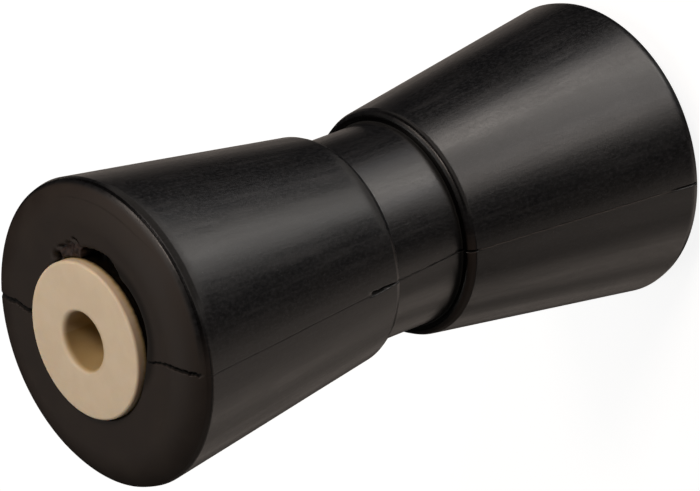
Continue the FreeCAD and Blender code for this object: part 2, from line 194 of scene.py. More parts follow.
# Crown angle of the witness line by azimuth
WITNESS_LINE = [(25, 46.0), (45, 50.5), (60, 58.0), (100, 62.0), (112, 63.0)]
WITNESS_WIDTH = 0.55
WITNESS_DEPTH = 0.03

# Bands round the rim and the shoulders. A span is four places: the band starts at the first, is
# full from the second to the third, and has ended at the fourth. Sides are azimuths.
WITNESS_SIDE = (40.0, 75.0, 96.0, 112.0)
DULL_RIM_SIDE = (-120.0, -90.0, 2.0, 20.0)
DULL_RING_SIDE = (-80.0, -50.0, 0.0, 14.0)
LIP_SIDE = (-40.0, -10.0, 70.0, 84.0)
FAR_RING_SIDE = (14.0, 26.0, 80.0, 105.0)
FAR_RING_HEIGHT = (14.3, 14.7, 15.1, 15.6)
FAR_RING_LEAN = (18.0, 25.0, 38.0, 48.0)
NEAR_RING_SIDE = (20.0, 32.0, 60.0, 80.0)
NEAR_RING_HEIGHT = (14.7, 15.5, 15.5, 18.8)
RIM_BAND_SIDE = (18.0, 30.0, 70.0, 95.0)
RIM_BAND_HEIGHT = (-1.9, -1.1, 0.6, 1.1)
RIM_SHINE_LEAN = (9.0, 17.0, 32.0, 44.0)
HIGHLIGHT_EDGE_SIDE = (-12.0, -4.0, 12.0, 26.0)
HIGHLIGHT_EDGE_RADIUS = 34.0

# Low waves that the moulding has everywhere, with faint finer ones on them. The skin lies this
# far under the plain shape, so that the crests of the waves stay inside it.
WAVE_HEIGHT = 0.035
FINE_WAVE_HEIGHT = 0.004
SKIN_DEPTH = 0.06

# Small pits in the sides, where the photograph shows them, with a few more strewn over the rest:
# azimuth, level, size and depth
PITS = [
    (52.0, 177.0, 0.9, 0.10),
    (-9.0, 164.0, 0.7, 0.12),
    (20.0, 139.0, 0.8, 0.08),
    (68.0, 33.0, 0.8, 0.12),
    (14.0, 24.0, 0.7, 0.12),
    (150.0, 150.0, 0.9, 0.10),
    (205.0, 60.0, 1.0, 0.12),
    (262.0, 172.0, 0.8, 0.10),
    (300.0, 36.0, 0.9, 0.12),
]

# Rounding of a bore's mouth, and how much the shaft has added on its most worn side
MOUTH_ROUNDING = 0.65
UPPER_MOUTH_WEAR = 1.15
LOWER_MOUTH_WEAR = 0.2
MOUTH_WEAR_AZIMUTH = 195.0
BUSH_COLUMNS = 180
# How uneven the outside of a bush is, how far it is drawn in for that, and how much of it has this
BUSH_WOBBLE = 0.035
BUSH_DRAWN_IN = 0.02
BUSH_UNEVEN_BORDER = 2.0
# How far below the bush's face the painted shade on its side, where it stands in the gap in the rubber,
# starts and is full
SIDE_SHADE_SPAN = (2.2, 3.7)
# The side of the bore that is left pale, painted light on a side that the lamps leave in shade; elsewhere
# the bore is painted darker as shade
LIT_BORE_AZIMUTH = 125.0
LIT_BORE_WIDTH = 50.0
LIT_BORE_SHARE = 0.9

# Zones of the section: along the sides, on the whole outside, and inside
SIDE_ZONES = ("waist", "root", "shoulder", "cone", "rim")
OUTER_ZONES = (*SIDE_ZONES, "crown", "face", "mouth")
INNER_ZONES = ("seat", "seat_floor", "core")


# Profiles

def straight(start, end, step):
    """Points and outward normals along a straight run, without its last point."""
    run = (end[0] - start[0], end[1] - start[1])
    length = math.hypot(*run)
    count = max(1, round(length / step))
    normal = (run[1] / length, -run[0] / length)
    return [
        (start[0] + run[0] * i / count, start[1] + run[1] * i / count, *normal)
        for i in range(count)
    ]


def bend(centre, radius, start, end, step, inward=False):
    """Points and outward normals along an arc between two angles in degrees, without its last point."""
    turn = math.radians(end - start)
    count = max(2, math.ceil(abs(turn) * radius / step))
    sign = -1.0 if inward else 1.0
    rows = []
    for i in range(count):
        angle = math.radians(start) + turn * i / count
        across, up = math.cos(angle), math.sin(angle)
        rows.append((centre[0] + radius * across, centre[1] + radius * up, sign * across, sign * up))
    return rows


def drawn_in(rows, centre, radius, low, high, share):
    """An arc's rows with the stretch between two angles drawn in towards its chord, which leaves
    a faint edge at each end of the stretch."""
    middle, half = math.radians((low + high) / 2), math.radians((high - low) / 2)
    moved = []
    for across, up, *normal in rows:
        angle = math.atan2(up - centre[1], across - centre[0])
        sink = max(0.0, share * radius * (math.cos(angle - middle) - math.cos(half)))
        moved.append((across - sink * math.cos(middle), up - sink * math.sin(middle), *normal))
    return moved


def on_cone(height):
    """The point of the cone's surface at a height."""
    return np.array((CONE_SMALL_RADIUS + CONE_SLOPE * (height - HALF_WAIST), height))


def shoulder_centre():
    """Centre of the shoulder's rounding, which touches the shoulder's face and the cone."""
    up = HALF_WAIST + SHOULDER_ROUNDING
    return np.array((on_cone(up)[0] - SHOULDER_ROUNDING / math.cos(CONE_ANGLE), up))


def rim_centre():
    """Centre of the rim's rounding, which touches the cone and, from inside, the crowned border."""
    foot = on_cone(CROWN_CENTRE[1])
    gap = CROWN_CENTRE - foot
    reach = math.sqrt((END_CROWN_RADIUS - RIM_ROUNDING) ** 2 - (RIM_ROUNDING + gap @ CONE_NORMAL) ** 2)
    return foot + CONE_ALONG * (gap @ CONE_ALONG + reach) - CONE_NORMAL * RIM_ROUNDING


def half_profile(fine):
    """One half of the moulding's section, from the middle of the waist outside to the middle of
    the core inside: (radius, height, normal across, normal up, zone) for each row."""
    step = {stretch: upper if fine else lower for stretch, (upper, lower) in ROW_STEPS.items()}
    shoulder, rim = shoulder_centre(), rim_centre()
    root = (WAIST_RADIUS + WAIST_ROOT_ROUNDING, HALF_WAIST - WAIST_ROOT_ROUNDING)
    mouth = (SEAT_RADIUS + SEAT_MOUTH_ROUNDING, HALF_LENGTH - SEAT_MOUTH_ROUNDING)
    cone_side = -math.degrees(CONE_ANGLE)
    rim_end = math.degrees(math.atan2(rim[1] - CROWN_CENTRE[1], rim[0] - CROWN_CENTRE[0]))
    outer_break, inner_break = CROWN_BREAKS

    cone_start = shoulder + SHOULDER_ROUNDING * CONE_NORMAL
    cone_end = rim + RIM_ROUNDING * CONE_NORMAL
    beside_shoulder = on_cone(cone_start[1] + BESIDE_SHOULDER)
    near_shoulder = on_cone(NEAR_SHOULDER)
    beside_rim = on_cone(cone_end[1] - BESIDE_RIM)

    shoulder_arc = drawn_in(
        bend(shoulder, SHOULDER_ROUNDING, -90, cone_side, step["shoulder"]),
        shoulder, SHOULDER_ROUNDING, SHOULDER_FLAT_START, cone_side, SHOULDER_FLAT_SHARE,
    )
    rim_arc = drawn_in(
        bend(rim, RIM_ROUNDING, cone_side, rim_end, step["rim"]),
        rim, RIM_ROUNDING, cone_side, RIM_FLAT_END, RIM_FLAT_SHARE,
    )
    runs = [
        ("waist", straight((WAIST_RADIUS, 0.0), (WAIST_RADIUS, root[1]), step["waist"])),
        ("root", bend(root, WAIST_ROOT_ROUNDING, 180, 90, step["root"], inward=True)),
        ("shoulder", straight((root[0], HALF_WAIST), (shoulder[0], HALF_WAIST), step["shoulder"])),
        ("shoulder", shoulder_arc),
        ("cone", straight(cone_start, beside_shoulder, step["beside shoulder"])),
        ("cone", straight(beside_shoulder, near_shoulder, step["near shoulder"])),
        ("cone", straight(near_shoulder, beside_rim, step["cone"])),
        ("cone", straight(beside_rim, cone_end, step["beside rim"])),
        ("rim", rim_arc),
        ("crown", bend(CROWN_CENTRE, END_CROWN_RADIUS, rim_end, outer_break, step["outer crown"])),
        ("crown", bend(CROWN_CENTRE, END_CROWN_RADIUS, outer_break, inner_break, step["middle crown"])),
        ("crown", bend(CROWN_CENTRE, END_CROWN_RADIUS, inner_break, 90.0, step["inner crown"])),
        ("face", straight((END_FLAT_RADIUS, HALF_LENGTH), (mouth[0], HALF_LENGTH), step["face"])),
        ("mouth", bend(mouth, SEAT_MOUTH_ROUNDING, 90, 180, step["mouth"])),
        ("seat", straight((SEAT_RADIUS, mouth[1]), (SEAT_RADIUS, SEAT_BREAK), step["outer seat"])),
        ("seat", straight((SEAT_RADIUS, SEAT_BREAK), (SEAT_RADIUS, SEAT_FLOOR), step["inner seat"])),
        ("seat_floor", straight((SEAT_RADIUS, SEAT_FLOOR), (CORE_RADIUS, SEAT_FLOOR), step["seat floor"])),
        ("core", straight((CORE_RADIUS, SEAT_FLOOR), (CORE_RADIUS, 0.0), step["core"])),
    ]
    return [(*row, zone) for zone, rows in runs for row in rows]


def bush_profile(mouth):
    """Half-section of a bush with its outer end up: rows from the bore's mouth outwards and back
    up the bore. mouth is the rounding of the bore's mouth."""
    face_inner, face_outer = BORE_RADIUS + mouth, BUSH_RADIUS - BUSH_EDGE
    side_top = BUSH_END - BUSH_CROWN - BUSH_EDGE
    inner_end = BUSH_END - BUSH_LENGTH
    lead_in_top, lead_in_radius = inner_end + BUSH_LEAD_IN, BUSH_RADIUS - BUSH_LEAD_IN
    bore_top = BUSH_END - mouth

    def shares(count):
        return [i / count for i in range(count)]

    rows = []
    for share in shares(14):
        rows.append((face_inner + (face_outer - face_inner) * share, BUSH_END - BUSH_CROWN * share ** 2.2))
    for share in shares(9):
        angle = math.radians(90 - 90 * share)
        rows.append((face_outer + BUSH_EDGE * math.cos(angle), side_top + BUSH_EDGE * math.sin(angle)))
    for share in shares(14):
        rows.append((BUSH_RADIUS, side_top + (lead_in_top - side_top) * share ** 1.5))
    for share in shares(3):
        rows.append((BUSH_RADIUS - BUSH_LEAD_IN * share, inner_end + BUSH_LEAD_IN * (1 - share)))
    for share in shares(4):
        rows.append((lead_in_radius + (BORE_RADIUS - lead_in_radius) * share, inner_end))
    for share in shares(12):
        rows.append((BORE_RADIUS, inner_end + (bore_top - inner_end) * (1 - (1 - share) ** 1.5)))
    for share in shares(8):
        angle = math.radians(180 - 90 * share)
        rows.append((face_inner + mouth * math.cos(angle), bore_top + mouth * math.sin(angle)))
    return rows


# Shapes that the surface is worked with

def smooth(value, low, high):
    """0 up to low, 1 from high on, and a soft rise between them."""
    share = np.clip((value - low) / (high - low), 0.0, 1.0)
    return share * share * (3.0 - 2.0 * share)


def span(value, start, full, fade, end):
    """0 up to start, 1 from full to fade, and 0 again from end on."""
    return smooth(value, start, full) * (1.0 - smooth(value, fade, end))


def most(*layers):
    """The largest of several layers at each point."""
    return functools.reduce(np.maximum, layers)


def read_off(table, at):
    """The value of a table of pairs at any number, with straight lines between the pairs."""
    keys, values = zip(*table)
    return np.interp(at, keys, values)


def groove(distance, width):
    """A groove across a line, with a flat middle: 1 at its middle, 0 from half the width outward."""
    return np.clip(1.9 * (1.0 - np.abs(distance) / (width / 2)), 0.0, 1.0)


def bead(distance, width):
    """A rounded bump across a line, 1 at its middle and 0 from half the width outward."""
    return np.where(np.abs(distance) < width / 2, np.cos(np.pi * distance / width) ** 2, 0.0)


def wrap(degrees):
    """An angle brought between -180 and 180 degrees."""
    return (degrees + 180.0) % 360.0 - 180.0


def ripple(points, scale, seed, octaves=3):
    """Smooth noise from about -1 to 1 at an array of points in millimetres."""
    flat = points.reshape(-1, 3) / scale
    offset = Vector((seed * 7.31, seed * 3.17, seed * 5.53))
    values = [noise.fractal(Vector(p) + offset, 1.0, 2.0, octaves) for p in flat]
    return np.array(values).reshape(points.shape[:-1])


def ring_mesh(name, grid, flip=False):
    """A closed mesh of rows round the axis: grid is rows x columns x 3, in millimetres."""
    rows, columns = grid.shape[:2]
    mesh = bpy.data.meshes.new(name)
    index = np.arange(rows * columns).reshape(rows, columns)
    right, below = np.roll(index, -1, 1), np.roll(index, -1, 0)
    corner = np.roll(below, -1, 1)
    faces = np.stack([index, right, corner, below], -1).reshape(-1, 4)
    if flip:
        faces = faces[:, ::-1]
    mesh.vertices.add(rows * columns)
    mesh.vertices.foreach_set("co", (grid.reshape(-1, 3) * MM).astype(np.float32).ravel())
    mesh.loops.add(faces.size)
    mesh.loops.foreach_set("vertex_index", faces.ravel().astype(np.int32))
    mesh.polygons.add(len(faces))
    mesh.polygons.foreach_set("loop_start", np.arange(0, faces.size, 4, dtype=np.int32))
    mesh.update(calc_edges=True)
    mesh.validate()
    mesh.shade_smooth()
    piece = bpy.data.objects.new(name, mesh)
    bpy.context.scene.collection.objects.link(piece)
    return piece


def paint(piece, name, values):
    """A number for each point of the mesh, which its material reads."""
    attribute = piece.data.attributes.new(name, "FLOAT", "POINT")
    attribute.data.foreach_set("value", values.astype(np.float32).ravel())


# Rubber moulding

def azimuth_columns():
    """The azimuth of each column of points, in degrees."""
    columns = []
    for start, end, step in COLUMN_STRETCHES:
        count = round((end - start) / step)
        columns.extend(start + (end - start) * i / count for i in range(count))
    return np.array(columns)


class Moulding:
    """The moulding's plain surface: rows of its section by columns round the axis."""

    def __init__(self):
        upper = half_profile(fine=True)
        lower = [(r, -h, nr, -nh, zone) for r, h, nr, nh, zone in half_profile(fine=False)]
        # The upper half runs outside to inside; the lower one comes back from the core to the waist
        rows = upper + [(CORE_RADIUS, 0.0, -1.0, 0.0, "core")] + lower[:0:-1]
        self.radius, self.height, self.across, self.up, self.zone = (
            np.array(values)[:, None] for values in zip(*rows)
        )
        self.azimuth = azimuth_columns()[None, :]
        self.turn = np.radians(self.azimuth)
        self.side = wrap(self.azimuth)
        self.level = MIDDLE + self.height
        self.lean = np.degrees(np.arctan2(np.abs(self.up), np.abs(self.across)))
        self.upper, self.lower = self.height > 0, self.height < 0
        self.points = self.place(self.radius, self.height)

    def place(self, radius, height):
        """Points at a distance from the axis and a height, for every azimuth."""
        x, y = radius * np.cos(self.turn), radius * np.sin(self.turn)
        return np.stack([x, y, (MIDDLE + height) * np.ones_like(self.turn)], -1)

    def zones(self, *names):
        """Which rows belong to any of the named zones."""
        return np.isin(self.zone, names)

    def everywhere(self, values):
        """Values of the rows or of the columns, spread over all the points."""
        return values * np.ones(self.points.shape[:2])

    def round_from(self, azimuth):
        """Distance round the roller from an azimuth, in millimetres."""
        return np.radians(wrap(self.azimuth - azimuth)) * self.radius


def low_waves(body):
    """How far the waves move the skin. They are longer along the roller than round it."""
    wave = WAVE_HEIGHT * ripple(body.points * np.array([1.0, 1.0, 0.40]), 20.0, 3, 2)
    fine_wave = FINE_WAVE_HEIGHT * ripple(body.points * np.array([1.0, 1.0, 0.25]), 4.0, 4, 2)
    return np.where(body.zones(*OUTER_ZONES), wave + fine_wave - SKIN_DEPTH, 0.0)


def witness_line(body):
    """A witness line round the crowned border of the upper end."""
    away = np.radians(body.lean - read_off(WITNESS_LINE, body.side)) * END_CROWN_RADIUS
    line = np.where(body.zones("crown") & body.upper, groove(away, WITNESS_WIDTH), 0.0)
    return line * span(body.side, *WITNESS_SIDE)


def mould_seam(body):
    """Seam of the mould, a fine line down both sides: the line itself, where it is raised, where
    it crosses the waist, where nicks open it, and how far it moves the surface."""
    level, below = body.level, -body.height
    on_side = body.zones(*SIDE_ZONES)
    on_waist = np.abs(body.height) < HALF_WAIST
    middle = np.where(on_waist, WAIST_SHIFT * (level - WAIST_FOOT_LEVEL) / (2 * HALF_WAIST), 0.0)
    wander = 0.10 * np.sin(level * 0.9) + 0.07 * np.sin(level * 2.3 + 1.0)
    arm_right, arm_left = body.round_from(middle + wander), body.round_from(180.0 + wander)
    nearer_right = np.abs(arm_right) < np.abs(arm_left)
    line = np.where(on_side, groove(np.where(nearer_right, arm_right, arm_left), LINE_WIDTH), 0.0)

    # The line is a ridge low on the roller and a groove above that, deepest across the waist
    raised = smooth(below, 9.0, 14.0)
    ridge = LINE_HEIGHT * span(below, 9.0, 14.0, 90.0, 96.0)
    waist_line = 1.0 - smooth(np.abs(body.height), 11.0, 15.0)
    sunk = LINE_DEPTH * (1 - raised) * (1 + 0.7 * waist_line)

    right_side = nearer_right & on_side
    nick_width = (0.75 + 0.80 * smooth(level, 117.0, 125.0)) * (1 + 0.2 * np.sin(level * 1.7 + 1.0))
    nick = span(level, *NICK_LEVELS) * groove(arm_right, nick_width) * (0.8 + 0.2 * np.sin(level * 2.4))
    low_nick = most(*(span(level, *levels) for levels in LOW_NICK_LEVELS)) * groove(arm_right, 0.75)
    nick, low_nick = nick * right_side, low_nick * right_side
    opened = np.maximum(nick, low_nick)
    shift = line * (ridge - sunk) * (opened <= 0) - NICK_DEPTH * nick - LOW_NICK_DEPTH * low_nick
    return SimpleNamespace(line=line, raised=raised, waist_line=waist_line, opened=opened, shift=shift)


def seam_crack(body):
    """The seam opened into a crack over the upper end's face and border."""
    radius = body.radius
    jitter = 0.22 * np.sin(radius * 2.9) + 0.16 * np.sin(radius * 6.1 + 2.0)
    wide_right = 0.80 + 0.40 * smooth(radius, 31.0, 34.5) - 0.6 * smooth(radius, 42.5, 45.0)
    open_right = smooth(radius, 23.6, 25.6) * (0.75 + 0.25 * smooth(radius, 33.0, 36.0))
    open_right = open_right * (1 - 0.6 * np.exp(-(((radius - 38.6) / 0.45) ** 2)))
    open_right = open_right * (1 - smooth(radius, 41.5, 44.0))
    right = groove(body.round_from(read_off(SEAM_RIGHT, radius) + jitter), wide_right) * open_right

    wide_left = 1.60 + 0.40 * smooth(radius, 37.0, 44.0)
    open_left = smooth(radius, 23.4, 25.0) * (0.85 + 0.15 * np.sin(radius * 1.7))
    open_left = open_left * (1 - 0.75 * smooth(radius, 40.6, 42.4))
    left = groove(body.round_from(read_off(SEAM_LEFT, radius) + jitter), wide_left) * open_left
    return np.where(body.upper & body.zones("rim", "crown", "face", "mouth"), np.maximum(right, left), 0.0)


def worn_inside(points):
    """Distance inside the border of the worn lip beside the upper bush."""
    turn = math.radians(LIP_AZIMUTH)
    x, y = points[..., 0] - LIP_OFFSET * math.cos(turn), points[..., 1] - LIP_OFFSET * math.sin(turn)
    return LIP_RADIUS - np.hypot(x, y)


def worn_depth(points):
    """How far the face rolls over into the worn lip."""
    inside = np.clip(worn_inside(points), 0.0, None)
    rolled = LIP_ROUNDING - np.sqrt(np.clip(LIP_ROUNDING ** 2 - inside ** 2, 0.0, None))
    return np.minimum(np.where(inside < LIP_ROUNDING, rolled, LIP_DEPTH), LIP_DEPTH)


def bulges(table, radius, side):
    """Rounded bulges, or hollows of the same shape, added together."""
    total = 0.0
    for height, azimuth, distance, wide, deep, lean in table:
        aside = (side - azimuth - lean * (radius - distance)) / wide
        total = total + height * np.exp(-(aside ** 2 + ((radius - distance) / deep) ** 2))
    return total


def inside_edge(table, ragged, radius, side):
    """Distance inside the ragged edge of a torn place, and -1 past its two sides."""
    between = (side > table[0][0]) & (side < table[-1][0])
    return np.where(between, read_off(table, side) + ragged - radius, -1.0)


def torn_places(radius, side, points):
    """Depth of the torn places beside the bush, where torn rubber shows, and where painted shade darkens
    the hole, the slit and the cuts.
    """
    ragged = ripple(points, 1.4, 1)
    coarse = ripple(points, 3.2, 2)

    in_hole = inside_edge(HOLE_EDGE, 0.35 * ragged * smooth(side, 55, 60), radius, side)
    hole = smooth(in_hole, -0.05, 0.5) * (HOLE_DEPTH + 0.7 * coarse)
    rounded = 0.35 * smooth(in_hole, -1.1, 0.0) * span(side, 52, 58, 86, 93)

    in_flap = inside_edge(FLAP_EDGE, 0.3 * ragged, radius, side)
    flap = smooth(in_flap, -0.05, 0.45) * (FLAP_DEPTH + 0.35 * ragged)
    cuts = bulges(FLAP_CUTS, radius, side)
    flap = np.maximum(flap + cuts - bulges(FLAP_SHREDS, radius, side), 0.0)

    aside = (side - SLIT_AZIMUTH - (radius - SLIT_DISTANCE) * SLIT_LEAN) / SLIT_WIDTH
    slit = SLIT_DEPTH * np.exp(-(aside ** 2)) * span(radius, *SLIT_SPAN)

    here = (side > TORN_SIDES[0]) & (side < TORN_SIDES[1])
    depth = np.maximum(hole, flap + slit) + rounded
    torn = most(smooth(in_hole, -0.1, 0.3), smooth(in_flap, -0.1, 0.3))
    # Painted shade in the hole, the slit and the cuts
    torn_shade = most(smooth(hole, 0.6, 3.0), smooth(slit, 0.5, 2.0), 0.8 * smooth(cuts, 0.5, 1.5))
    return np.where(here, depth, 0.0), torn, np.where(here, torn_shade, 0.0)


def worn_face(body):
    """How far the torn places and the worn lip lower the upper face beside the bush, where torn
    rubber shows, and where painted shade darkens the torn places."""
    near_bush = body.upper & body.zones("crown", "face", "mouth", "seat") & (body.radius < WORN_RADIUS)
    rows = np.nonzero(near_bush[:, 0])[0]
    points = body.points[rows]
    radius, side = body.everywhere(body.radius)[rows], body.everywhere(body.side)[rows]
    sag, torn, torn_shade = np.zeros((3, *body.points.shape[:2]))
    torn_depth, torn[rows], torn_shade[rows] = torn_places(radius, side, points * np.array([1.0, 1.0, 0.0]))
    sag[rows] = np.maximum(worn_depth(points), torn_depth)

    # Down the wall of the seat both come to an end
    down = HALF_LENGTH - body.height
    in_seat = body.zones("seat")
    sag = sag * np.where(in_seat, 1 - smooth(down, 1.0, 13.0), 1.0)
    torn = torn * np.where(in_seat, 1 - smooth(down, 6.0, 10.0), 1.0)
    return sag, torn, torn_shade


def small_pits(body):
    """Depth of the small pits in the sides."""
    depth = 0.0
    for azimuth, level, size, deep in PITS:
        gone = np.hypot(body.round_from(azimuth), body.level - level)
        depth = depth + deep * np.exp(-((gone / size) ** 2))
    return np.where(body.zones(*SIDE_ZONES), depth, 0.0)


def dull_rim(body):
    """Where the upper rim is dull."""
    on_rim = body.zones("rim", "crown") & body.upper
    return 0.9 * on_rim * smooth(body.lean, 0.0, 10.0) * span(body.side, *DULL_RIM_SIDE)


def dull_places(body):
    """The end faces, the inside and the worn places that have lost the skin of the mould."""
    bare = np.where(body.zones("crown", "face", "mouth"), smooth(body.lean, 43.5, 50.5), 0.0)
    ring = body.zones("shoulder") * body.lower * smooth(body.radius - WAIST_RADIUS, 1.4, 2.2)
    return most(bare + body.zones(*INNER_ZONES), dull_rim(body)) + ring * span(body.side, *DULL_RING_SIDE)


def painted_shade_marks(body, seam, crack, witness):
    """Painted shade, dull and dark: in the cracks and nicks, in the seam's and the witness line's grooves,
    in the root of the waist, beside the bush's worn lip, and in thin bands beside the rim and the
    shoulders where their reflections are dark."""
    beside_shoulder = body.zones("shoulder", "cone")
    near_band = beside_shoulder * span(body.height, *NEAR_RING_HEIGHT) * span(body.side, *NEAR_RING_SIDE)
    far_band = beside_shoulder * span(-body.height, *FAR_RING_HEIGHT) * span(body.side, *FAR_RING_SIDE)
    over_rim = body.height - body.height[body.zones("rim") & body.upper].min()
    rim_band = body.zones(*SIDE_ZONES) * span(over_rim, *RIM_BAND_HEIGHT) * span(body.side, *RIM_BAND_SIDE)
    upper_end = body.upper & body.zones("crown", "face", "mouth", "seat")
    # Painted shade beside the worn lip, where the bush shadows the rubber
    lip = 0.8 * upper_end * smooth(worn_inside(body.points), -2.2, 1.2) * span(body.side, *LIP_SIDE)
    return most(
        smooth(crack, 0.0, 0.4),
        3.0 * seam.opened,
        0.4 * seam.line * (1 - seam.raised) * (1 + 0.6 * seam.waist_line),
        lip,
        body.zones("root", "waist") * smooth(np.abs(body.height), 12.3, 12.6),
        0.25 * witness,
        rim_band,
        0.8 * far_band,
        0.7 * near_band,
    )


def glossy_shade_places(body, seam, crack, torn_shade):
    """Glossier places painted dark as shade: under the shoulders, inside the torn place, in the gap
    round the bush and down the seat, and in bands on the upper rim and the far shoulder where their
    reflections are dark."""
    under_shoulder = body.zones("shoulder") * (1 - smooth(body.radius - WAIST_RADIUS, 1.6, 2.6))
    rim = 0.7 * body.upper * body.zones("rim", "crown") * span(body.lean, *RIM_SHINE_LEAN)
    ring = 0.7 * body.lower * body.zones("shoulder", "cone") * span(body.lean, *FAR_RING_LEAN)
    mouth = body.zones("mouth") * body.upper * smooth(SEAT_RADIUS + 0.75 - body.radius, 0.0, 0.5)
    return most(
        under_shoulder,
        rim * (1 - dull_rim(body)) * (1 - crack),
        ring * span(body.side, *FAR_RING_SIDE) * (1 - seam.line),
        torn_shade,
        mouth,
        body.zones("seat"),
    )


def pale_lines_and_highlight(body, seam):
    """Paler along the raised stretch of the seam, and a painted highlight along the edge of the near
    shoulder.
    """
    edge = body.zones("shoulder") * body.upper * bead(body.radius - HIGHLIGHT_EDGE_RADIUS, 0.9)
    return most(seam.line * seam.raised * (1 - seam.opened), 0.5 * edge * span(body.side, *HIGHLIGHT_EDGE_SIDE))


def make_roller():
    """The rubber moulding with its wear, and a mark at each point for each kind of place."""
    body = Moulding()
    seam, crack, witness = mould_seam(body), seam_crack(body), witness_line(body)
    sag, torn, torn_shade = worn_face(body)
    out = low_waves(body) + seam.shift
    out = out - WITNESS_DEPTH * witness - CRACK_DEPTH * crack - small_pits(body)
    moved = body.place(body.radius + body.across * out, body.height + body.up * out - sag)
    roller = ring_mesh("rubber_roller", moved)
    marks = {
        "matte": dull_places(body),
        "torn": torn,
        # Painted shade: the seam mark darkens cracks, nicks, grooves, the waist's root, the worn lip and
        # bands where reflections are dark
        "seam": painted_shade_marks(body, seam, crack, witness),
        # Painted shade, glossier: the crease mark darkens the shoulders' undersides, the torn hole, the
        # gap round the bush and dark reflection bands
        "gloss_and_shade": glossy_shade_places(body, seam, crack, torn_shade),
        # Pale seam ridge, and a painted highlight on the near shoulder's edge
        "pale_and_highlight": pale_lines_and_highlight(body, seam),
    }
    for name, values in marks.items():
        paint(roller, name, np.clip(body.everywhere(values), 0, 1))
    return roller


# Nylon bushes

def make_bush(name, top):
    """One bush, the same at both ends apart from the wear of its bore's mouth."""
    mouth_wear = UPPER_MOUTH_WEAR if top else LOWER_MOUTH_WEAR
    grid = np.zeros((len(bush_profile(MOUTH_ROUNDING)), BUSH_COLUMNS, 3))
    for column in range(BUSH_COLUMNS):
        turn = math.radians(360.0 * column / BUSH_COLUMNS)
        # The shaft has rounded the bore's mouth more on one side
        worn = 0.5 + 0.5 * math.cos(turn - math.radians(MOUTH_WEAR_AZIMUTH))
        mouth = MOUTH_ROUNDING + mouth_wear * worn ** (1.5 if top else 1.0)
        for row, (radius, height) in enumerate(bush_profile(mouth)):
            grid[row, column] = (radius * math.cos(turn), radius * math.sin(turn), height)

    wobble = BUSH_WOBBLE * np.abs(ripple(grid, 9.0, 11 if top else 12, 2))
    distance = np.hypot(grid[..., 0], grid[..., 1])
    drawn_in_by = (BUSH_DRAWN_IN + wobble) * (distance > BUSH_RADIUS - BUSH_UNEVEN_BORDER)
    grid[..., :2] *= (1.0 - drawn_in_by / distance)[..., None]
    grid[..., 2] -= wobble * (grid[..., 2] > BUSH_END - BUSH_UNEVEN_BORDER)

    outside = distance > (BUSH_RADIUS + BORE_RADIUS) / 2
    # Painted shade down the bush's side in the gap in the rubber, full from a few millimetres below the
    # face
    side_shade = np.where(outside, smooth(BUSH_END - grid[..., 2], *SIDE_SHADE_SPAN), 0.0)
    azimuth = np.degrees(np.arctan2(grid[..., 1], grid[..., 0]))
    # Painted light: the bore is left pale on one side, where the lamps leave it in shade
    pale = LIT_BORE_SHARE * np.exp(-(((azimuth - LIT_BORE_AZIMUTH) / LIT_BORE_WIDTH) ** 2))
    bore = smooth(BORE_RADIUS + 1.0 - distance, 0.0, 1.0) * (1 - pale)

    if not top:
        grid[..., 2] *= -1.0
    grid[..., 2] += MIDDLE
    bush = ring_mesh(name, grid, flip=top)
    paint(bush, "side_shade", side_shade)
    paint(bush, "bore", bore)
    return bush


# Materials

RUBBER_DARK = (0.0016, 0.0018, 0.0024, 1)
RUBBER_LIGHT = (0.0040, 0.0040, 0.0043, 1)
RUBBER_FILM = (0.0112, 0.0108, 0.0114, 1)
RUBBER_MOTTLE = (0.0122, 0.0124, 0.0142, 1)
RUBBER_SPECK = (0.030, 0.029, 0.030, 1)
MATTE_DARK = (0.0125, 0.0072, 0.0048, 1)
MATTE_LIGHT = (0.0170, 0.0110, 0.0075, 1)
TORN_DARK = (0.0070, 0.0014, 0.0007, 1)
TORN_LIGHT = (0.0250, 0.0115, 0.0078, 1)
# Colour of the pale seam ridge and of the painted highlight on the near shoulder's edge
PALE_LINE_COLOUR = (0.050, 0.042, 0.038, 1)
# Near black of the painted shade in the seam and crease marks
PAINTED_SHADE = (0.0010, 0.0008, 0.0007, 1)
RUBBER_ROUGHNESS = 0.36
DULL_ROUGHNESS = 0.32
SHADE_BAND_ROUGHNESS = 0.5
CREASE_ROUGHNESS = 0.22
RUBBER_IOR = 1.4
# Turns an angle round the roller into a length of about the radius
AROUND = 0.04

NYLON_DARK = (0.625, 0.51, 0.370, 1)
NYLON_LIGHT = (0.655, 0.54, 0.398, 1)
# Bore colour, darker and deeper as painted shade
NYLON_BORE_SHADE = (0.40, 0.28, 0.125, 1)
# Half shade and full painted shade down the bush's side in the gap
NYLON_HALF_SHADE = (0.50, 0.36, 0.17, 1)
NYLON_SIDE_SHADE = (0.004, 0.0025, 0.0012, 1)
NYLON_IOR = 1.5
SIDE_SHADE_ROUGHNESS = 0.25


